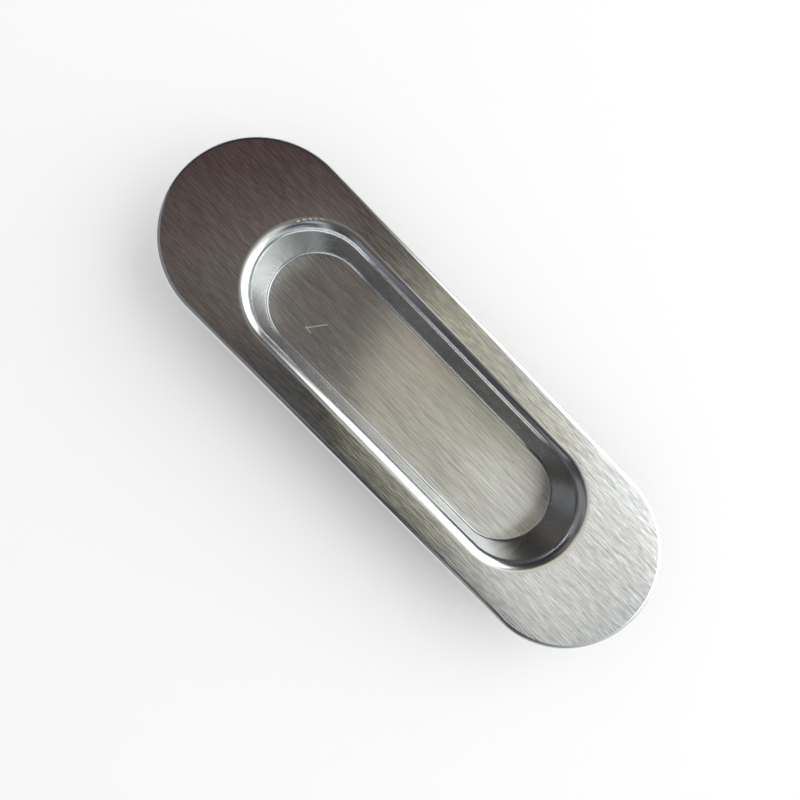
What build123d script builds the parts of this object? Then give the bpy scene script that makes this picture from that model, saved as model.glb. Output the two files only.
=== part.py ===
from build123d import *

import os
from math import radians, tan

# Oval flush pull for a sliding or cupboard door, pressed from one sheet of stainless steel.
#
# The sheet is drawn down into one deep finger recess with rounded ends. Its outer edge is
# turned down into a low rim, which stands on the door's face and lifts the brushed plate a
# little clear of it. The recess drops into a pocket cut in the door, where it is glued, so
# the pull has no screw holes, and nothing on it moves.
#
# Millimetres. X runs along the pull and Y across it. Z points out of the door, and Z = 0 is
# the door's face, with the origin at the middle of the pocket's mouth.

# Sheet
sheet_thickness = 0.8

# Plate, measured over its turned-down rim
plate_length = 128.0
plate_width = 40.0
rim_bend_radius = 0.4
rim_drop = 0.7

# Flat band of the plate between its outer edge and the mouth of the recess
side_margin = 5.5
end_margin = 19.9

# Recess: the floor and the lip are bent to these radii on the side they fold towards
recess_depth = 13.0
draft_angle = 5.8
lip_bend_radius = 1.6
floor_bend_radius = 0.4

# How far the pressing's block reaches past the recess and the plate before it is trimmed
block_margin = 5.0

# The rim reaches rim_drop below the plate's underside
face_height = sheet_thickness + rim_drop
block_depth = recess_depth + block_margin

# Seen from above, the rim and the lip are the outside of their bends
rim_radius = rim_bend_radius + sheet_thickness
lip_radius = lip_bend_radius + sheet_thickness

# The mouth is where the lip leaves the flat plate. Drawn on up to the plate, the wall would
# meet it one lip_run further in
mouth_length = plate_length - 2 * end_margin
mouth_width = plate_width - 2 * side_margin
lip_run = lip_radius * tan(radians((90 - draft_angle) / 2))
throat_length = mouth_length - 2 * lip_run
throat_width = mouth_width - 2 * lip_run

with BuildPart() as flush_pull:
    # Block with the plate's outline, its top edge rounded as the rim's bend is
    with BuildSketch(Plane.XY.offset(face_height)):
        SlotOverall(plate_length, plate_width)
    extrude(amount=-block_depth)
    fillet(flush_pull.edges().group_by(Axis.Z)[-1], radius=rim_radius)

    # Finger recess, narrowing a little towards its floor
    with BuildSketch(Plane.XY.offset(face_height)):
        SlotOverall(throat_length, throat_width)
    extrude(amount=-recess_depth, taper=draft_angle, mode=Mode.SUBTRACT)
    recess_floor = flush_pull.faces().filter_by(Axis.Z).sort_by(Axis.Z)[1]
    fillet(recess_floor.outer_wire().edges(), radius=floor_bend_radius)
    plate_face = flush_pull.faces().sort_by(Axis.Z)[-1]
    fillet(plate_face.inner_wires()[0].edges(), radius=lip_radius)

    # Hollow the block from below, which leaves the sheet at one thickness round every bend
    block_foot = flush_pull.faces().sort_by(Axis.Z)[0]
    offset(amount=-sheet_thickness, openings=block_foot)

    # Trim the block's side away below the door's face, so that only the low rim is left
    with BuildSketch(Plane.XY):
        SlotOverall(plate_length + block_margin, plate_width + block_margin)
        SlotOverall(mouth_length, mouth_width, mode=Mode.SUBTRACT)
    extrude(amount=-block_depth, mode=Mode.SUBTRACT)

flush_pull.part.label = "flush_pull"

os.makedirs("parts", exist_ok=True)
export_step(flush_pull.part, "parts/flush_pull.step")
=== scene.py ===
import logging
import math
from dataclasses import dataclass, fields
from enum import Enum
from typing import ClassVar, Union

import bpy
from mathutils import Matrix, Vector


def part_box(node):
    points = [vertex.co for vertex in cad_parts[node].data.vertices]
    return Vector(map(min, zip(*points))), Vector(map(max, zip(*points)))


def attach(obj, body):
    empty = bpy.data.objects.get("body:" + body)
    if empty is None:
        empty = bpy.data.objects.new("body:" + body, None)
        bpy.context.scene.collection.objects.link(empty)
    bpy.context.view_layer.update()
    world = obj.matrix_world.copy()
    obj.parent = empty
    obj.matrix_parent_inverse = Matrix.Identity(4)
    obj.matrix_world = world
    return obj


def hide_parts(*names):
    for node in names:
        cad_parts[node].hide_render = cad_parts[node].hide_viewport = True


# Looks of an oval flush pull, pressed from one sheet of brushed stainless steel.
#
# Metres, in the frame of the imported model: X runs along the pull, Y across it and Z out of
# the door's face. The sheet is rebuilt finely by one Geometry Nodes tree, which carries its
# section round the recess. It wears four finishes: one brushed on the plate and one on the
# recess floor, drawn steel on the bends and the wall, and plain mill steel underneath.

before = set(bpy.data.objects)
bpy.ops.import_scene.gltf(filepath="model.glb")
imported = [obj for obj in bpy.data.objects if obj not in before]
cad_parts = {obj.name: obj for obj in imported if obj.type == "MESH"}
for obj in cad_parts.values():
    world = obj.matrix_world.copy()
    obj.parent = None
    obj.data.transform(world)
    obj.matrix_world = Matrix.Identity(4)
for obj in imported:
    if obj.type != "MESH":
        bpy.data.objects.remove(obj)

MM = 0.001
LOG = logging.getLogger("flush_pull")
logging.basicConfig(level=logging.INFO, format="%(name)s: %(message)s")

Tree = bpy.types.NodeTree
Socket = bpy.types.NodeSocket
Place = tuple[float, float, float]
Colour = tuple[float, float, float]
Number = Union["Term", float]
Card = Union["Dome", "Flag"]


class Zone(Enum):
    """Which finish a part of the sheet wears."""

    PLATE = "brushed_plate_steel"
    FLOOR = "brushed_floor_steel"
    DRAWN = "drawn_steel"
    MILL = "mill_steel"


@dataclass(frozen=True)
class Term:
    """One number in a node tree. Arithmetic on it adds Math nodes to that tree.

    Attributes:
        writer: What adds the nodes.
        socket: The output socket that holds the number.
    """

    writer: "NodeWriter"
    socket: Socket

    def __add__(self, other: Number) -> "Term":
        """Adds a number or a term."""
        return self.writer.math("ADD", self, other)

    def __radd__(self, other: Number) -> "Term":
        """Adds this term to a number."""
        return self.writer.math("ADD", other, self)

    def __sub__(self, other: Number) -> "Term":
        """Takes a number or a term away."""
        return self.writer.math("SUBTRACT", self, other)

    def __rsub__(self, other: Number) -> "Term":
        """Takes this term away from a number."""
        return self.writer.math("SUBTRACT", other, self)

    def __mul__(self, other: Number) -> "Term":
        """Multiplies by a number or a term."""
        return self.writer.math("MULTIPLY", self, other)

    def __rmul__(self, other: Number) -> "Term":
        """Multiplies a number by this term."""
        return self.writer.math("MULTIPLY", other, self)

    def __truediv__(self, other: Number) -> "Term":
        """Divides by a number or a term."""
        return self.writer.math("DIVIDE", self, other)


@dataclass
class NodeWriter:
    """Adds nodes to one tree and joins their sockets.

    Attributes:
        tree: The node tree that is written.
    """

    tree: Tree

    def feed(self, socket: Socket, value: object) -> None:
        """Joins a socket to an output, or sets it.

        Args:
            socket: The input socket.
            value: A term or an output socket to join, or a plain value to set.
        """
        if isinstance(value, Term):
            value = value.socket
        if isinstance(value, Socket):
            self.tree.links.new(value, socket)
        else:
            socket.default_value = value

    def add(self, kind: str, inputs: dict | None = None, **settings: object) -> bpy.types.Node:
        """Adds one node.

        Args:
            kind: The node's type, as Blender names it.
            inputs: What each input gets, by its name or its place.
            settings: The node's own properties.

        Returns:
            The new node.
        """
        node = self.tree.nodes.new(kind)
        for name, value in settings.items():
            setattr(node, name, value)
        for name, value in (inputs or {}).items():
            self.feed(node.inputs[name], value)
        return node

    def get(self, kind: str, inputs: dict | None = None, **settings: object) -> Socket:
        """Adds one node and gives its first output."""
        return self.add(kind, inputs, **settings).outputs[0]

    def math(self, operation: str, *values: Number, clamp: bool = False) -> Term:
        """Adds a Math node, and holds its result between 0 and 1 where clamp says so."""
        inputs = dict(enumerate(values))
        return Term(self, self.get("ShaderNodeMath", inputs, operation=operation,
                                   use_clamp=clamp))

    def vector(self, x: Number, y: Number, z: Number) -> Socket:
        """Joins three numbers into a vector."""
        return self.get("ShaderNodeCombineXYZ", {0: x, 1: y, 2: z})

    def parts(self, vector: Socket) -> tuple["Term", "Term", "Term"]:
        """Splits a vector into three terms."""
        outputs = self.add("ShaderNodeSeparateXYZ", {0: vector}).outputs
        return Term(self, outputs[0]), Term(self, outputs[1]), Term(self, outputs[2])

    def vectors(self, operation: str, first: object, second: object) -> bpy.types.Node:
        """Adds a Vector Math node for two vectors."""
        return self.add("ShaderNodeVectorMath", {0: first, 1: second}, operation=operation)

    def measure(self, operation: str, first: object, second: object) -> Term:
        """Gives the number that a Vector Math node finds for two vectors."""
        return Term(self, self.vectors(operation, first, second).outputs["Value"])

    def scaled(self, vector: object, factor: Number) -> Socket:
        """Makes a vector longer or shorter."""
        return self.get("ShaderNodeVectorMath", {0: vector, "Scale": factor},
                        operation="SCALE")

    def ramp(self, value: Number, start: Number, end: Number, low: Number = 0.0,
             high: Number = 1.0, smooth: bool = False) -> Term:
        """Adds a Map Range node that is held at both ends.

        Args:
            value: What is mapped.
            start: The value that gives low.
            end: The value that gives high.
            low: The result at the start.
            high: The result at the end.
            smooth: Whether the ramp eases in and out.

        Returns:
            The mapped value.
        """
        inputs = {"Value": value, "From Min": start, "From Max": end, "To Min": low,
                  "To Max": high}
        kind = "SMOOTHSTEP" if smooth else "LINEAR"
        return Term(self, self.get("ShaderNodeMapRange", inputs, interpolation_type=kind))

    def by_index(self, kind: str, values: list[object]) -> Socket:
        """Gives each point of a geometry its own value.

        Args:
            kind: The kind of value, as Blender names it.
            values: The points' values in order.

        Returns:
            The value of the point.
        """
        node = self.add("GeometryNodeIndexSwitch", data_type=kind)
        while len(node.index_switch_items) < len(values):
            node.index_switch_items.new()
        self.feed(node.inputs[0], self.get("GeometryNodeInputIndex"))
        for place, value in enumerate(values, start=1):
            self.feed(node.inputs[place], value)
        return node.outputs[0]

    def keep(self, geometry: Socket, name: str, value: object, kind: str,
             domain: str = "POINT") -> Socket:
        """Keeps a value on a geometry's points, or on its corners, as a named attribute."""
        inputs = {"Geometry": geometry, "Name": name, "Value": value}
        return self.get("GeometryNodeStoreNamedAttribute", inputs, data_type=kind,
                        domain=domain)

    def kept(self, name: str, kind: str) -> Socket:
        """Reads a named attribute."""
        return self.get("GeometryNodeInputNamedAttribute", {"Name": name}, data_type=kind)

    def sample(self, geometry: Socket, value: Socket, point: Term, kind: str) -> Socket:
        """Reads a value at one point of another geometry."""
        inputs = {"Geometry": geometry, "Value": value, "Index": point}
        return self.get("GeometryNodeSampleIndex", inputs, data_type=kind, domain="POINT")

    def on_faces(self, value: object) -> Term:
        """Averages a number over each face."""
        return Term(self, self.get("GeometryNodeFieldOnDomain", {0: value}, data_type="FLOAT",
                                   domain="FACE"))


class SocketKind(Enum):
    """The kinds of socket that this file's trees and groups have."""

    NUMBER = "NodeSocketFloat"
    COUNT = "NodeSocketInt"
    VECTOR = "NodeSocketVector"
    MATERIAL = "NodeSocketMaterial"
    GEOMETRY = "NodeSocketGeometry"


def open_tree(name: str, kind: str, inputs: dict[str, SocketKind],
              outputs: dict[str, SocketKind]) -> tuple[NodeWriter, bpy.types.Node]:
    """Starts a node tree with named inputs and outputs.

    Args:
        name: The tree's name.
        kind: The tree's type, as Blender names it.
        inputs: The kind of each input, by name.
        outputs: The kind of each output, by name.

    Returns:
        The tree's writer and its Group Input node.
    """
    tree = bpy.data.node_groups.new(name, kind)
    for way, sockets in (("INPUT", inputs), ("OUTPUT", outputs)):
        for socket, socket_kind in sockets.items():
            tree.interface.new_socket(socket, in_out=way, socket_type=socket_kind.value)
    writer = NodeWriter(tree)
    return writer, writer.add("NodeGroupInput")


@dataclass(frozen=True)
class SectionPoint:
    """A corner of the sheet's section.

    Attributes:
        reach: How far it lies from the line between the end arcs' centres.
        spread: How far those centres lie from the pull's middle.
        height: How high it lies.
        bend: The radius that rounds the corner.
    """

    reach: Number
    spread: Number
    height: Number
    bend: Number = 0.0


@dataclass
class SheetTree:
    """Writes the tree that carries the sheet's section round the recess.

    Attributes:
        writer: What adds the nodes.
        size: The tree's inputs, by name.
    """

    writer: NodeWriter
    size: dict[str, Term]

    def section(self) -> tuple[list[SectionPoint], list[SectionPoint]]:
        """Gives the section's corners, from the floor's middle over the rim and back below.

        Returns:
            The corners of the upper side, down to the rim's foot, and those of the underside.
        """
        writer, size = self.writer, self.size
        sheet, face, floor = size["Sheet Thickness"], size["Face Height"], size["Floor Height"]
        plate_spread = (size["Plate Length"] - size["Plate Width"]) / 2
        plate_reach = size["Plate Width"] / 2
        mouth_reach = plate_reach - size["Side Margin"]
        mouth_spread = plate_spread + size["Side Margin"] - size["End Margin"]
        lean = writer.math("TANGENT", size["Draft"])
        slant = sheet / writer.math("COSINE", size["Draft"])
        quarter_turn = math.pi / 2
        run_share = writer.math("TANGENT", (quarter_turn - size["Draft"]) / 2)
        lip_radius = size["Lip Bend"] + sheet
        rim_radius = size["Rim Bend"] + sheet
        throat_reach = mouth_reach - lip_radius * run_share
        foot_reach = throat_reach - (face - floor) * lean
        under_face, under_floor = face - sheet, floor - sheet
        under_throat = throat_reach + slant - sheet * lean
        under_foot = foot_reach + slant - sheet * lean
        upper = [
            SectionPoint(0.0, mouth_spread, floor),
            SectionPoint(foot_reach, mouth_spread, floor, size["Floor Bend"]),
            SectionPoint(throat_reach, mouth_spread, face, lip_radius),
            SectionPoint(mouth_reach, mouth_spread, face),
            SectionPoint(plate_reach - rim_radius, plate_spread, face),
            SectionPoint(plate_reach, plate_spread, face, rim_radius),
            SectionPoint(plate_reach, plate_spread, 0.0),
        ]
        under = [
            SectionPoint(plate_reach - sheet, plate_spread, 0.0),
            SectionPoint(plate_reach - sheet, plate_spread, under_face, size["Rim Bend"]),
            SectionPoint(plate_reach - rim_radius, plate_spread, under_face),
            SectionPoint(mouth_reach, mouth_spread, under_face),
            SectionPoint(under_throat, mouth_spread, under_face, size["Lip Bend"]),
            SectionPoint(under_foot, mouth_spread, under_floor, size["Floor Bend"] + sheet),
            SectionPoint(0.0, mouth_spread, under_floor),
        ]
        return upper, under

    def rounded_section(self) -> Socket:
        """Draws the section as a curve and rounds its bends.

        X holds the reach, Y the spread and Z the height.

        Returns:
            The rounded curve, whose attribute underside is 1 on the underside.
        """
        writer = self.writer
        upper, under = self.section()
        corners = upper + under
        points = writer.get("GeometryNodeResampleCurve", {
            "Curve": writer.get("GeometryNodeCurvePrimitiveLine"), "Count": len(corners),
        })
        places = [writer.vector(one.reach, one.spread, one.height) for one in corners]
        placed = writer.get("GeometryNodeSetPosition", {
            "Geometry": points, "Position": writer.by_index("VECTOR", places),
        })
        below = writer.get("FunctionNodeCompare", {
            "A": writer.get("GeometryNodeInputIndex"), "B": len(upper),
        }, data_type="INT", operation="GREATER_EQUAL")
        return writer.get("GeometryNodeFilletCurve", {
            "Curve": writer.keep(placed, "underside", below, "FLOAT"),
            "Count": self.size["Bend Steps"],
            "Radius": writer.by_index("FLOAT", [one.bend for one in corners]),
        }, mode="POLY")

    def ring_place(self, step: Term) -> tuple[Term, Term, Term]:
        """Places a step of the way round the recess, on an end arc or a straight side.

        Args:
            step: The step, counted from the start of the arc towards +X.

        Returns:
            The angle in which the section points, the share of its spread by which it is
            shifted along X, and how far round the mouth it has come.
        """
        ramp, size = self.writer.ramp, self.size
        end, side = size["End Steps"], size["Side Steps"]
        first_turn = ramp(step, 0.0, end)
        back_way = ramp(step, end, end + side)
        second_turn = ramp(step, end + side, 2 * end + side)
        return_way = ramp(step, 2 * end + side, 2 * (end + side))
        turned = (first_turn + second_turn) * math.pi
        shift = 1 - 2 * back_way + 2 * return_way
        mouth_reach = size["Plate Width"] / 2 - size["Side Margin"]
        mouth_spread = size["Plate Length"] / 2 - size["End Margin"] - mouth_reach
        way = turned * mouth_reach + (back_way + return_way) * 2 * mouth_spread
        return turned - math.pi / 2, shift, way

    def sweep(self, section: Socket) -> Socket:
        """Carries the section round the recess.

        Args:
            section: The rounded section.

        Returns:
            The swept sheet, not yet closed. Its attribute walk holds the ways down the
            section and round the recess.
        """
        writer = self.writer

        # A flat grid: X counts the section's points and Y the steps round the recess
        rows = Term(writer, writer.add("GeometryNodeAttributeDomainSize", {0: section},
                                       component="CURVE").outputs["Point Count"])
        steps = 2 * (self.size["End Steps"] + self.size["Side Steps"])
        grid = writer.add("GeometryNodeMeshGrid", {
            "Size X": rows - 1, "Size Y": steps, "Vertices X": rows, "Vertices Y": steps + 1,
        })
        position = writer.get("GeometryNodeInputPosition")
        across, along, _ = writer.parts(position)
        row = writer.math("ROUND", across + (rows - 1) / 2)
        step = writer.math("ROUND", along + steps / 2)

        # What the section has at each row of the grid
        place = writer.sample(section, position, row, "FLOAT_VECTOR")
        length = writer.add("GeometryNodeSplineParameter").outputs["Length"]
        walked = Term(writer, writer.sample(section, length, row, "FLOAT"))
        under = writer.sample(section, writer.kept("underside", "FLOAT"), row, "FLOAT")
        reach, spread, height = writer.parts(place)
        angle, shift, way = self.ring_place(step)
        x = shift * spread + reach * writer.math("COSINE", angle)
        y = reach * writer.math("SINE", angle)

        # What later nodes need of the grid is kept on its points before they move
        mesh = writer.keep(grid.outputs["Mesh"], "walk", writer.vector(walked, way, 0.0),
                           "FLOAT_VECTOR")
        swept = writer.get("GeometryNodeSetPosition", {
            "Geometry": writer.keep(mesh, "underside", under, "FLOAT"),
            "Position": writer.vector(x, y, height),
        })
        return writer.get("GeometryNodeFlipFaces", {0: swept})

    def dress(self, mesh: Socket) -> Socket:
        """Lays the sheet's map and gives each zone its material.

        On flat faces the map's U runs across the brushing. On the bends and the wall it runs
        down the section, and V runs round the recess.

        Args:
            mesh: The swept sheet, not yet closed.

        Returns:
            The sheet with its map and materials.
        """
        writer = self.writer
        flat_enough = 0.999
        under_enough = 0.1
        x, y, z = writer.parts(writer.get("GeometryNodeInputPosition"))
        normal_z = writer.parts(writer.get("GeometryNodeInputNormal"))[2]
        level = writer.math("ABSOLUTE", normal_z)
        flat = writer.on_faces(writer.math("GREATER_THAN", level, flat_enough))
        under = writer.on_faces(writer.kept("underside", "FLOAT"))
        laid = writer.get("GeometryNodeSwitch", {
            "Switch": flat, "False": writer.kept("walk", "FLOAT_VECTOR"),
            "True": writer.vector(y, x, 0.0),
        }, input_type="VECTOR")
        dressed = writer.keep(mesh, "UVMap", laid, "FLOAT2", "CORNER")
        choices = {
            Zone.DRAWN: True,
            Zone.PLATE: flat,
            Zone.FLOOR: writer.math("LESS_THAN", z, 0.0) * flat,
            Zone.MILL: writer.math("GREATER_THAN", under, under_enough),
        }
        for zone, chosen in choices.items():
            dressed = writer.get("GeometryNodeSetMaterial", {
                "Geometry": dressed, "Selection": chosen, "Material": self.size[zone.value],
            })
        return dressed

    def write(self) -> None:
        """Writes the whole tree, from the section to the closed and dressed sheet."""
        writer = self.writer
        closed = writer.get("GeometryNodeMergeByDistance", {
            "Geometry": self.dress(self.sweep(self.rounded_section())),
            "Distance": self.size["Merge Distance"],
        })
        smooth = writer.get("GeometryNodeSetShadeSmooth", {"Geometry": closed})
        plain = writer.get("GeometryNodeRealizeInstances", {"Geometry": smooth})
        writer.add("NodeGroupOutput", {0: plain})


@dataclass
class PressedSheet:
    """The whole pull: plate, rim, lip, wall and floor in one folded sheet.

    Attributes:
        plate_length: Length over the rim.
        plate_width: Width over the rim.
        face_height: How high the plate's face lies above the door's face.
        back_depth: How deep the recess's underside lies below the door's face.
        sheet_thickness: Thickness of the sheet.
        side_margin: Flat band beside the mouth.
        end_margin: Flat band beyond the mouth's ends.
        rim_bend: Inner radius of the rim's bend.
        lip_bend: Inner radius of the lip's bend.
        floor_bend: Inner radius of the bend round the floor.
        draft: How far the wall leans out, in radians.
        bend_steps: Faces round one bend of the section.
        end_steps: Faces round one rounded end.
        side_steps: Faces along one straight side.
        merge_distance: Points closer than this are joined where the sweep closes.
    """

    plate_length: float
    plate_width: float
    face_height: float
    back_depth: float
    sheet_thickness: float = 0.8 * MM
    side_margin: float = 5.5 * MM
    end_margin: float = 19.9 * MM
    rim_bend: float = 0.4 * MM
    lip_bend: float = 1.6 * MM
    floor_bend: float = 0.4 * MM
    draft: float = math.radians(5.8)
    bend_steps: int = 18
    end_steps: int = 80
    side_steps: int = 32
    merge_distance: float = 0.001 * MM

    @classmethod
    def from_frame(cls, node: str) -> "PressedSheet":
        """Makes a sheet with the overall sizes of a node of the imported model."""
        low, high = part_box(node)
        return cls(high.x - low.x, high.y - low.y, high.z, -low.z)

    def inputs(self) -> dict[str, float]:
        """Names the tree's inputs after the fields.

        Returns:
            The sizes and the step counts, by the names of the inputs.
        """
        values = {field.name: getattr(self, field.name) for field in fields(self)}
        values["floor_height"] = self.sheet_thickness - values.pop("back_depth")
        return {name.replace("_", " ").title(): value for name, value in values.items()}

    def build_tree(self) -> Tree:
        """Opens the tree with its inputs and has it written.

        Returns:
            The Geometry Nodes tree.
        """
        kinds = {name: SocketKind.NUMBER if isinstance(value, float) else SocketKind.COUNT
                 for name, value in self.inputs().items()}
        kinds |= {zone.value: SocketKind.MATERIAL for zone in Zone}
        writer, given = open_tree("pressed_sheet", "GeometryNodeTree", kinds,
                                  {"Geometry": SocketKind.GEOMETRY})
        SheetTree(writer, {name: Term(writer, given.outputs[name]) for name in kinds}).write()
        return writer.tree

    def build(self, name: str, materials: dict[Zone, bpy.types.Material]) -> bpy.types.Object:
        """Runs the tree and keeps its result as a plain mesh.

        Args:
            name: The piece's name.
            materials: The material of each zone.

        Returns:
            The finished piece.
        """
        carrier = put("sheet_carrier", bpy.data.meshes.new("sheet_carrier"))
        modifier = carrier.modifiers.new("sweep", "NODES")
        modifier.node_group = self.build_tree()
        values = self.inputs() | {zone.value: materials[zone] for zone in Zone}
        for item in modifier.node_group.interface.items_tree:
            if item.in_out == "INPUT":
                modifier[item.identifier] = values[item.name]
        even = carrier.modifiers.new("even_normals", "WEIGHTED_NORMAL")
        even.mode = "FACE_AREA"
        bpy.context.view_layer.update()
        evaluated = carrier.evaluated_get(bpy.context.evaluated_depsgraph_get())
        mesh = bpy.data.meshes.new_from_object(evaluated)
        mesh.name = name
        bpy.data.objects.remove(carrier)
        return put(name, mesh)


def put(name: str, data: bpy.types.ID) -> bpy.types.Object:
    """Adds an object to the scene.

    Args:
        name: Its name.
        data: Its mesh, lamp or camera.

    Returns:
        The object.
    """
    added = bpy.data.objects.new(name, data)
    bpy.context.scene.collection.objects.link(added)
    return added


def bare_material(name: str) -> tuple[bpy.types.Material, NodeWriter]:
    """Starts a material that has no nodes yet.

    Args:
        name: Its name.

    Returns:
        The material and its writer.
    """
    material = bpy.data.materials.new(name)
    material.use_nodes = True
    material.node_tree.nodes.clear()
    return material, NodeWriter(material.node_tree)


def brushed_grain_group() -> Tree:
    """Writes the group that draws grain, long lines of uneven strength in one direction.

    Returns:
        The group. Its Vector runs along the lines in X and across them in Y.
    """
    layers = {"Lines": ("Line", 3.0), "Patches": ("Patch", 2.0)}
    unevenness = 0.6
    sizes = ("Line Length", "Line Width", "Patch Length", "Patch Width")
    inputs = {"Vector": SocketKind.VECTOR} | dict.fromkeys(sizes, SocketKind.NUMBER)
    outputs = dict.fromkeys(layers, SocketKind.NUMBER)
    writer, given = open_tree("brushed_grain", "ShaderNodeTree", inputs, outputs)
    along, across, up = writer.parts(given.outputs["Vector"])
    results = {}
    for name, (layer, detail) in layers.items():
        length = Term(writer, given.outputs[f"{layer} Length"])
        width = Term(writer, given.outputs[f"{layer} Width"])
        results[name] = writer.get("ShaderNodeTexNoise", {
            "Vector": writer.vector(along / length, across / width, up / width),
            "Scale": 1.0, "Detail": detail, "Roughness": unevenness,
        })
    writer.add("NodeGroupOutput", results)
    return writer.tree


def stroke_group() -> Tree:
    """Writes the group that masks one scratch, a straight stroke with soft ends.

    Returns:
        The group. A stroke whose start and end are one point is a speck.
    """
    tiny = 1e-12
    full_share = 0.2
    inputs = dict.fromkeys(("Vector", "Start", "End"), SocketKind.VECTOR)
    inputs["Width"] = SocketKind.NUMBER
    writer, given = open_tree("stroke", "ShaderNodeTree", inputs, {"Mask": SocketKind.NUMBER})
    start = given.outputs["Start"]
    way = writer.vectors("SUBTRACT", given.outputs["End"], start).outputs[0]
    here = writer.vectors("SUBTRACT", given.outputs["Vector"], start).outputs[0]
    reached = writer.measure("DOT_PRODUCT", here, way)
    whole = writer.measure("DOT_PRODUCT", way, way)
    share = writer.ramp(reached / (whole + tiny), 0.0, 1.0)
    gap = writer.measure("DISTANCE", here, writer.scaled(way, share))
    width = Term(writer, given.outputs["Width"])
    mask = writer.ramp(gap, width, width * full_share, smooth=True)
    writer.add("NodeGroupOutput", {0: mask})
    return writer.tree


@dataclass(frozen=True)
class Stroke:
    """A scratch or a speck on the steel.

    Attributes:
        start: Where it starts.
        end: Where it ends.
        width: Half its width.
    """

    start: Place
    end: Place
    width: float

    @classmethod
    def between(cls, start: Place, end: Place, width: float) -> "Stroke":
        """Makes a stroke from sizes in millimetres."""
        return cls(tuple(part * MM for part in start), tuple(part * MM for part in end),
                   width * MM)


@dataclass(frozen=True)
class Grain:
    """The brushing of one zone.

    Attributes:
        line: Length and width of a line.
        patch: Length and width of a lighter or darker patch.
        colour_swing: How far the lines lighten and darken the colour.
        patch_swing: How far the patches do.
        roughness_swing: How far the lines change the roughness.
        depth: How deep the lines are cut.
        by_map: Whether it follows the sheet's map, and not the pull's length.
    """

    line: tuple[float, float]
    patch: tuple[float, float]
    colour_swing: float
    patch_swing: float
    roughness_swing: float
    depth: float
    by_map: bool = False

    def draw(self, writer: NodeWriter, place: Socket, group: Tree) -> tuple[Term, Term]:
        """Draws the brushing in a material.

        Args:
            writer: What adds the nodes.
            place: Object coordinates.
            group: The grain group.

        Returns:
            The lines and the patches, both from 0 to 1.
        """
        if self.by_map:
            across, along, _ = writer.parts(writer.get("ShaderNodeUVMap", uv_map="UVMap"))
            place = writer.vector(along, across, 0.0)
        drawn = writer.add("ShaderNodeGroup", {
            "Vector": place,
            "Line Length": self.line[0],
            "Line Width": self.line[1],
            "Patch Length": self.patch[0],
            "Patch Width": self.patch[1],
        }, node_tree=group).outputs
        return Term(writer, drawn["Lines"]), Term(writer, drawn["Patches"])


@dataclass(frozen=True)
class SteelFinish:
    """How one zone of the steel looks.

    Attributes:
        colour: The steel's own colour.
        roughness: How blurred it reflects.
        grain: Its brushing.
        anisotropy: How much more it blurs across its grain.
        painted_corner_shade: Painted shade, how much darker the steel is in the corner round
            the floor.
        scratches: Bright strokes.
        specks: Dark strokes.
        painted_shade_heights: Where the painted corner shade starts, and where it is full.
        scratch_light: How much a scratch lightens the colour.
        scratch_blur: How much it adds to the roughness.
        scratch_depth: How deep it is cut.
        speck_dark: How much a speck darkens the colour.
    """

    colour: Colour
    roughness: float
    grain: Grain
    anisotropy: float = 0.0
    painted_corner_shade: float = 0.0
    scratches: tuple[Stroke, ...] = ()
    specks: tuple[Stroke, ...] = ()
    painted_shade_heights: tuple[float, float] = (-10.6 * MM, -11.3 * MM)
    scratch_light: float = 0.6
    scratch_blur: float = 0.3
    scratch_depth: float = 0.02 * MM
    speck_dark: float = 0.5

    def material(self, name: str, grain: Tree, stroke: Tree) -> bpy.types.Material:
        """Builds the finish as a material.

        Args:
            name: The material's name.
            grain: The grain group.
            stroke: The stroke group.

        Returns:
            The material.
        """
        middle = 0.5
        material, writer = bare_material(name)
        place = writer.add("ShaderNodeTexCoord").outputs["Object"]
        lines, patches = self.grain.draw(writer, place, grain)
        swing = lines - middle
        mottle = (patches - middle) * self.grain.patch_swing
        scratched = self.masks(writer, place, self.scratches, stroke)
        specked = self.masks(writer, place, self.specks, stroke)
        # Painted shade: the colour darkens towards the corner round the floor.
        corner_shade = writer.ramp(writer.parts(place)[2], *self.painted_shade_heights, 0.0,
                            self.painted_corner_shade)
        shade = (1 + swing * self.grain.colour_swing + mottle
                 + scratched * self.scratch_light - specked * self.speck_dark - corner_shade)
        rough = writer.math("ADD", self.roughness + swing * self.grain.roughness_swing,
                            scratched * self.scratch_blur, clamp=True)
        height = lines * self.grain.depth - scratched * self.scratch_depth
        bump = writer.get("ShaderNodeBump", {"Height": height, "Strength": 1.0,
                                             "Distance": 1.0})
        tangent = writer.get("ShaderNodeTangent", direction_type="UV_MAP", uv_map="UVMap")
        steel = writer.get("ShaderNodeBsdfPrincipled", {
            "Base Color": writer.scaled(self.colour, shade),
            "Metallic": 1.0,
            "Roughness": rough,
            "Anisotropic": self.anisotropy,
            "Normal": bump,
            "Tangent": tangent,
        })
        writer.add("ShaderNodeOutputMaterial", {"Surface": steel})
        return material

    @staticmethod
    def masks(writer: NodeWriter, place: Socket, strokes: tuple[Stroke, ...],
              group: Tree) -> Number:
        """Joins the masks of several strokes.

        Args:
            writer: What adds the nodes.
            place: Object coordinates.
            strokes: The strokes.
            group: The stroke group.

        Returns:
            The joined mask, or 0 where there is no stroke.
        """
        total: Number = 0.0
        for one in strokes:
            mask = Term(writer, writer.get("ShaderNodeGroup", {
                "Vector": place, "Start": one.start, "End": one.end, "Width": one.width,
            }, node_tree=group))
            total = mask if isinstance(total, float) else writer.math("MAXIMUM", total, mask)
        return total


def ease(share: float) -> float:
    """Holds a share between 0 and 1, and eases it in and out."""
    share = max(0.0, min(1.0, share))
    return share * share * (3 - 2 * share)


def mix(first: Colour, second: Colour, share: float) -> Colour:
    """Mixes two colours. A share of 0 gives the first, and 1 the second."""
    return tuple(one + (other - one) * share for one, other in zip(first, second))


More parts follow.
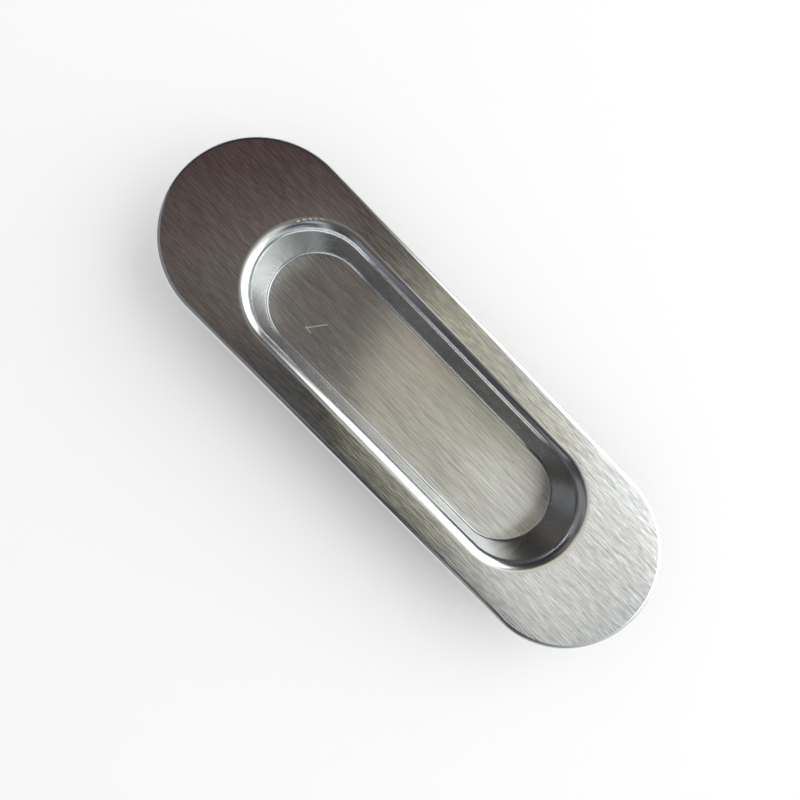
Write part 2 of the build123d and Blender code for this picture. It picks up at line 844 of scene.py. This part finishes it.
def grid_faces(rows: int, columns: int) -> list[tuple[int, int, int, int]]:
    """Joins points that lie row by row into faces.

    Args:
        rows: How many rows of faces there are.
        columns: How many faces a row has.

    Returns:
        The faces.
    """
    faces = []
    for row in range(rows):
        for column in range(columns):
            first = row * (columns + 1) + column
            faces.append((first, first + columns + 1, first + columns + 2, first + 1))
    return faces


@dataclass(frozen=True)
class Patch:
    """A soft-edged patch of tone on the dome.

    Attributes:
        turn: Where it starts and ends, in degrees round the pull from +X towards +Y.
        lean: Its upper and lower edge, in degrees from straight above.
        colour: Its colour.
        soft: Width of its soft edges, in degrees round the pull and down the dome.
    """

    turn: tuple[float, float]
    lean: tuple[float, float]
    colour: Colour
    soft: tuple[float, float] = (8.0, 5.0)

    def cover(self, turn: float, lean: float) -> float:
        """How much of the tone under the patch it hides at a place, from 0 to 1.

        Args:
            turn: The place's turn.
            lean: The place's lean.

        Returns:
            The cover, which fades out over the soft edges.
        """
        width = self.turn[1] - self.turn[0]
        start = (turn - self.turn[0]) % 360.0
        gaps = ((min(start, width - start), self.soft[0]),
                (min(lean - self.lean[0], self.lean[1] - lean), self.soft[1]))
        cover = 1.0
        for gap, soft in gaps:
            cover *= ease(gap / soft)
        return cover


@dataclass(frozen=True)
class Dome:
    """A dome round the pull that only mirrored rays see, painted patch over patch.

    Attributes:
        patches: The patches, from the first painted to the last.
        radius: How far it stands from the pull.
        step: Size of its faces, in degrees.
        lowest: How far down it reaches, in degrees from straight above.
    """

    patches: tuple[Patch, ...]
    radius: float = 3.0
    step: int = 2
    lowest: int = 116

    name: ClassVar[str] = "mirrored_dome"

    def tone(self, turn: float, lean: float) -> Colour:
        """Mixes the patches' tones at one place.

        Args:
            turn: The place's turn, in degrees.
            lean: The place's lean, in degrees.

        Returns:
            The tone.
        """
        colour = (1.0, 1.0, 1.0)
        for patch in self.patches:
            colour = mix(colour, patch.colour, patch.cover(turn, lean))
        return colour

    def shape(self) -> tuple[list[Vector], list[tuple[int, ...]], list[Colour]]:
        """Lays the dome out.

        Returns:
            Its points, its faces and each point's tone.
        """
        columns, rows = 360 // self.step, self.lowest // self.step
        points, tones = [], []
        for row in range(rows + 1):
            for column in range(columns + 1):
                turn, lean = math.radians(column * self.step), math.radians(row * self.step)
                away = math.sin(lean)
                points.append(self.radius * Vector((away * math.cos(turn),
                                                    away * math.sin(turn), math.cos(lean))))
                tones.append(self.tone(column * self.step, row * self.step))
        return points, grid_faces(rows, columns), tones


@dataclass(frozen=True)
class Fade:
    """A change of tone along a flag's edge.

    Attributes:
        colour: The colour that it ends in.
        start: Where along the edge it starts.
        end: Where along the edge that colour is full.
    """

    colour: Colour
    start: float
    end: float


@dataclass(frozen=True)
class Flag:
    """A flat card above the pull, which only mirrored rays see.

    Attributes:
        name: Its name.
        height: How high it hangs.
        edge_turn: Which way its straight edge faces, in degrees from +X towards +Y.
        edge_reach: How far that edge reaches past the middle of the pull.
        ends: How far that edge runs to each side.
        depth: How far the flag reaches back from that edge.
        edge_colour: Its colour at that edge.
        back_colour: Its colour at its back.
        fades: How its colour changes towards its ends.
        steps: Faces along the edge and back from it.
    """

    name: str
    height: float
    edge_turn: float
    edge_reach: float
    ends: tuple[float, float]
    depth: float
    edge_colour: Colour
    back_colour: Colour
    fades: tuple[Fade, ...] = ()
    steps: int = 16

    def tone(self, back: float, side: float) -> Colour:
        """Gives the flag's tone at a place.

        Args:
            back: How far back from the edge it is, as a share of the depth.
            side: How far along the edge it is.

        Returns:
            The tone.
        """
        colour = mix(self.edge_colour, self.back_colour, ease(back))
        for fade in self.fades:
            share = (side - fade.start) / (fade.end - fade.start)
            colour = mix(colour, fade.colour, ease(share))
        return colour

    def shape(self) -> tuple[list[Vector], list[tuple[int, ...]], list[Colour]]:
        """Lays the flag out.

        Returns:
            Its points, its faces and each point's tone.
        """
        turn = math.radians(self.edge_turn)
        front = Vector((math.cos(turn), math.sin(turn), 0.0))
        side = Vector((-front.y, front.x, 0.0))
        middle = front * self.edge_reach + Vector((0.0, 0.0, self.height))
        first, last = self.ends
        points, tones = [], []
        for row in range(self.steps + 1):
            back = row / self.steps
            for column in range(self.steps + 1):
                along = first + (last - first) * column / self.steps
                points.append(middle - front * self.depth * back + side * along)
                tones.append(self.tone(back, along))
        return points, grid_faces(self.steps, self.steps), tones


def hang(card: Card) -> None:
    """Builds a card and hides it from all but mirrored rays.

    Args:
        card: The card.
    """
    material, writer = bare_material(card.name)
    tone = writer.add("ShaderNodeAttribute", attribute_name="tone").outputs["Color"]
    glow = writer.get("ShaderNodeEmission", {"Color": tone, "Strength": 1.0})
    writer.add("ShaderNodeOutputMaterial", {"Surface": glow})
    mesh = bpy.data.meshes.new(card.name)
    points, faces, tones = card.shape()
    mesh.from_pydata(points, [], faces)
    values = [part for one in tones for part in (*one, 1.0)]
    mesh.attributes.new("tone", "FLOAT_COLOR", "POINT").data.foreach_set("color", values)
    mesh.materials.append(material)
    hung = put(card.name, mesh)
    hung.visible_camera = False
    hung.visible_diffuse = False
    hung.visible_shadow = False
    hung.visible_transmission = False


@dataclass
class Studio:
    """The floor, the light, the cards and the camera.

    Attributes:
        floor_height: Height of the floor.
        floor_side: Side of the square floor.
        floor_gap: Hair's breadth between the floor and the pull, so that they don't coincide.
        touch_reach: How far from the floor steel still counts as touching it.
        floor_colour: Colour of the floor.
        lens: Focal length of the camera in millimetres.
        camera_place: Where the camera is.
        camera_aim: What it looks at.
        picture_up: Direction on the plate that points up in the picture, in degrees.
        open_light: How strongly the surround lights the scene.
        backdrop: How bright it looks to the camera and in the steel.
        lamp_place: Where the lamp hangs. It faces the pull.
        lamp_size: Width and height of the lamp.
        lamp_level: How bright each part of it is.
        sensor_width: Width of the camera's sensor in millimetres.
        clip: The nearest and farthest that the camera sees.
        cards: What the steel mirrors.
    """

    floor_height: float
    floor_side: float = 3.0
    floor_gap: float = 0.02 * MM
    touch_reach: float = 0.2 * MM
    floor_colour: Colour = (0.96, 0.96, 0.96)
    lens: float = 23.8
    camera_place: Place = (-7.43 * MM, -8.41 * MM, 106.01 * MM)
    camera_aim: Place = (-2.12 * MM, -2.75 * MM, 0.0)
    picture_up: float = 135.42
    open_light: float = 0.72
    backdrop: float = 1.0
    lamp_place: Place = (0.67, 0.86, 0.49)
    lamp_size: tuple[float, float] = (1.94, 1.5)
    lamp_level: float = 1.85
    sensor_width: float = 36.0
    clip: tuple[float, float] = (0.005, 20.0)
    cards: tuple[Card, ...] = ()

    def build(self) -> None:
        """Builds everything that isn't the pull."""
        scene = bpy.context.scene
        scene.view_settings.view_transform = "Standard"
        self.build_floor()
        self.build_world()
        self.build_lamp()
        for card in self.cards:
            hang(card)
        self.build_camera()

    def build_floor(self) -> None:
        """Builds the pale floor, which keeps the pull's shadow.

        It is clear from below, and to rays that the underside mirrors where it touches.
        """
        material, writer = bare_material("pale_floor")
        paper = writer.get("ShaderNodeBsdfDiffuse", {"Color": (*self.floor_colour, 1.0)})
        clear = writer.get("ShaderNodeBsdfTransparent")
        below = Term(writer, writer.add("ShaderNodeNewGeometry").outputs["Backfacing"])
        rays = writer.add("ShaderNodeLightPath").outputs
        near = writer.math("LESS_THAN", Term(writer, rays["Ray Length"]), self.touch_reach)
        touching = Term(writer, rays["Is Glossy Ray"]) * near
        seen = writer.get("ShaderNodeMixShader", {
            0: writer.math("MAXIMUM", below, touching), 1: paper, 2: clear,
        })
        writer.add("ShaderNodeOutputMaterial", {"Surface": seen})
        half = self.floor_side / 2
        height = self.floor_height - self.floor_gap
        mesh = bpy.data.meshes.new("floor")
        mesh.from_pydata([(-half, -half, height), (half, -half, height),
                          (half, half, height), (-half, half, height)],
                         [], [(0, 1, 2, 3)])
        mesh.materials.append(material)
        floor = put("floor", mesh)

    def build_world(self) -> None:
        """Builds the white surround, seen at one strength and lighting at another."""
        world = bpy.data.worlds.new("studio")
        world.use_nodes = True
        world.node_tree.nodes.clear()
        bpy.context.scene.world = world
        writer = NodeWriter(world.node_tree)
        rays = writer.add("ShaderNodeLightPath").outputs
        seen = writer.math("MAXIMUM", Term(writer, rays["Is Camera Ray"]),
                           Term(writer, rays["Is Glossy Ray"]))
        seen = writer.math("MAXIMUM", seen, Term(writer, rays["Is Transmission Ray"]))
        strength = self.open_light + seen * (self.backdrop - self.open_light)
        light = writer.get("ShaderNodeBackground", {"Color": (1.0, 1.0, 1.0, 1.0),
                                                    "Strength": strength})
        writer.add("ShaderNodeOutputWorld", {"Surface": light})

    def build_lamp(self) -> None:
        """Hangs the soft lamp."""
        lamp = bpy.data.lights.new("soft_lamp", "AREA")
        lamp.shape = "RECTANGLE"
        width, height = self.lamp_size
        lamp.size = width
        lamp.size_y = height
        lamp.energy = self.lamp_level * math.pi * width * height
        holder = put("soft_lamp", lamp)
        holder.location = self.lamp_place
        holder.rotation_euler = holder.location.to_track_quat("Z", "Y").to_euler()
        holder.visible_camera = False

    def build_camera(self) -> None:
        """Places the camera as the photograph's view needs."""
        data = bpy.data.cameras.new("camera")
        data.lens = self.lens
        data.sensor_width = self.sensor_width
        data.clip_start, data.clip_end = self.clip
        camera = put("camera", data)
        place, aim = Vector(self.camera_place), Vector(self.camera_aim)
        turn = math.radians(self.picture_up)
        back = (place - aim).normalized()
        up = Vector((math.cos(turn), math.sin(turn), 0.0))
        right = up.cross(back).normalized()
        up = back.cross(right)
        camera.matrix_world = Matrix.Translation(place) @ Matrix(
            (right, up, back)).transposed().to_4x4()
        bpy.context.scene.camera = camera


def steel_finishes() -> dict[Zone, SteelFinish]:
    """Chooses each zone's finish, with the marks that the steel bears.

    Returns:
        The finishes by zone.
    """
    floor_scratches = (
        Stroke.between((-27.4, -5.8, -11.5), (-24.7, -2.0, -11.5), 0.16),
        Stroke.between((-27.6, -5.6, -11.5), (-25.9, -5.8, -11.5), 0.16),
    )
    floor_specks = (
        Stroke.between((26.5, 6.3, -11.5), (26.5, 6.3, -11.5), 0.28),
        Stroke.between((24.8, 5.6, -11.5), (24.8, 5.6, -11.5), 0.22),
    )
    # Nicks on the lip's edge: real wear, with their glint painted in as a lighter colour.
    lip_nicks_and_painted_glints = (
        Stroke.between((-41.2, 7.4, 1.4), (-41.0, 7.8, 1.4), 0.16),
        Stroke.between((-40.6, 8.5, 1.4), (-40.3, 8.9, 1.4), 0.18),
        Stroke.between((-39.9, 9.5, 1.4), (-39.6, 9.7, 1.4), 0.2),
        Stroke.between((-39.2, 10.3, 1.4), (-38.9, 10.4, 1.4), 0.18),
        Stroke.between((-38.4, 11.1, 1.4), (-37.9, 11.3, 1.4), 0.16),
    )
    return {
        Zone.PLATE: SteelFinish(
            colour=(0.61, 0.615, 0.6), roughness=0.17,
            grain=Grain(line=(2.8 * MM, 0.27 * MM), patch=(14 * MM, 2.5 * MM),
                        colour_swing=1.45, patch_swing=0.06, roughness_swing=0.1,
                        depth=0.014 * MM),
        ),
        Zone.FLOOR: SteelFinish(
            colour=(0.635, 0.64, 0.625), roughness=0.26, anisotropy=0.75,
            grain=Grain(line=(7 * MM, 0.3 * MM), patch=(30 * MM, 1.5 * MM),
                        colour_swing=1.3, patch_swing=0.06, roughness_swing=0.1,
                        depth=0.005 * MM),
            scratches=floor_scratches, specks=floor_specks,
        ),
        Zone.DRAWN: SteelFinish(
            colour=(0.74, 0.76, 0.77), roughness=0.22,
            grain=Grain(line=(12 * MM, 0.4 * MM), patch=(15 * MM, 2 * MM),
                        colour_swing=0.15, patch_swing=0.1, roughness_swing=0.05,
                        depth=0.001 * MM, by_map=True),
            # Painted shade: the drawn steel darkens in the corner round the floor.
            painted_corner_shade=0.3, scratches=lip_nicks_and_painted_glints,
        ),
        Zone.MILL: SteelFinish(
            colour=(0.61, 0.615, 0.6), roughness=0.3,
            grain=Grain(line=(9 * MM, 0.5 * MM), patch=(20 * MM, 4 * MM),
                        colour_swing=0.5, patch_swing=0.25, roughness_swing=0.15,
                        depth=0.002 * MM, by_map=True),
        ),
    }


def steel_materials() -> dict[Zone, bpy.types.Material]:
    """Builds each zone's material and the groups that they share.

    Returns:
        The materials by zone.
    """
    grain, stroke = brushed_grain_group(), stroke_group()
    return {zone: finish.material(zone.value, grain, stroke)
            for zone, finish in steel_finishes().items()}


def mirrored_cards() -> tuple[Card, ...]:
    """Chooses the dome and the flags that give the steel its tones.

    Returns:
        The cards.
    """
    dome = Dome((
        Patch((306.0, 384.0), (29.5, 125.0), (0.66, 0.68, 0.69), (16.0, 7.0)),
        Patch((20.0, 80.0), (20.0, 70.0), (1.42, 1.46, 1.5), (12.0, 8.0)),
        Patch((-60.0, 75.0), (-20.0, 24.0), (1.1, 1.07, 0.95), (20.0, 12.0)),
        Patch((25.0, 145.0), (-20.0, 26.0), (0.5, 0.49, 0.39), (25.0, 12.0)),
        Patch((10.0, 150.0), (-20.0, 13.0), (1.0, 0.87, 0.66), (25.0, 7.0)),
        Patch((12.0, 43.0), (9.0, 26.5), (0.5, 0.45, 0.32), (6.0, 4.0)),
        Patch((88.0, 196.0), (2.0, 32.0), (0.13, 0.1, 0.095), (35.0, 8.0)),
        Patch((88.0, 200.0), (20.0, 125.0), (0.034, 0.032, 0.032), (12.0, 8.0)),
        Patch((68.0, 106.0), (20.0, 38.0), (0.06, 0.055, 0.055), (6.0, 5.0)),
        Patch((190.0, 276.0), (4.0, 125.0), (0.24, 0.24, 0.255), (8.0, 8.0)),
        Patch((194.0, 270.0), (17.0, 34.0), (0.36, 0.365, 0.38), (10.0, 6.0)),
        Patch((296.0, 350.0), (24.0, 125.0), (0.33, 0.37, 0.41), (16.0, 12.0)),
        Patch((262.0, 368.0), (-20.0, 30.0), (0.27, 0.255, 0.21), (30.0, 16.0)),
        Patch((160.0, 262.0), (3.0, 18.0), (0.6, 0.54, 0.4), (16.0, 6.0)),
        Patch((258.0, 300.0), (13.0, 125.0), (0.05, 0.05, 0.055), (12.0, 8.0)),
        Patch((294.0, 318.0), (42.0, 125.0), (0.1, 0.1, 0.1), (8.0, 8.0)),
        Patch((305.0, 340.0), (12.0, 62.0), (0.03, 0.028, 0.026), (9.0, 8.0)),
        Patch((292.0, 322.0), (17.0, 40.0), (0.6, 0.66, 0.7), (10.0, 6.0)),
    ))
    side_tone = (0.03, 0.028, 0.026)
    near_tone = (0.035, 0.033, 0.031)
    end_tone = (0.85, 0.83, 0.7)
    return (
        dome,
        Flag("overhead_flag", height=0.106, edge_turn=47.0, edge_reach=-0.0135,
             ends=(-0.012, 0.12), depth=0.09,
             edge_colour=(0.25, 0.22, 0.2), back_colour=(0.14, 0.11, 0.105),
             fades=(Fade((0.08, 0.078, 0.078), 0.045, 0.005),
                    Fade((0.1, 0.066, 0.066), 0.05, 0.1))),
        Flag("side_flag", height=0.106, edge_turn=88.0, edge_reach=-0.0266,
             ends=(-0.13, -0.022), depth=0.07, edge_colour=side_tone,
             back_colour=side_tone,
             fades=(Fade((0.2, 0.2, 0.2), -0.032, -0.022),)),
        Flag("near_flag", height=0.2, edge_turn=82.0, edge_reach=-0.0275,
             ends=(-0.045, 0.05), depth=0.034, edge_colour=near_tone,
             back_colour=near_tone),
        Flag("end_card", height=0.05, edge_turn=90.0, edge_reach=0.013,
             ends=(-0.045, -0.027), depth=0.0095, edge_colour=end_tone,
             back_colour=end_tone,
             fades=(Fade((0.95, 0.96, 0.83), -0.036, -0.042),
                    Fade((0.73, 0.68, 0.51), -0.034, -0.03))),
    )


def main() -> None:
    """Builds the pull and its studio."""
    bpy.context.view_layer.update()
    sheet = PressedSheet.from_frame("flush_pull")
    piece = sheet.build("pressed_sheet", steel_materials())
    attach(piece, "root")
    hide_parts("flush_pull")
    LOG.info("pressed_sheet: %d faces", len(piece.data.polygons))
    studio = Studio(floor_height=-sheet.back_depth, cards=mirrored_cards())
    studio.build()


if __name__ == "__main__":
    main()
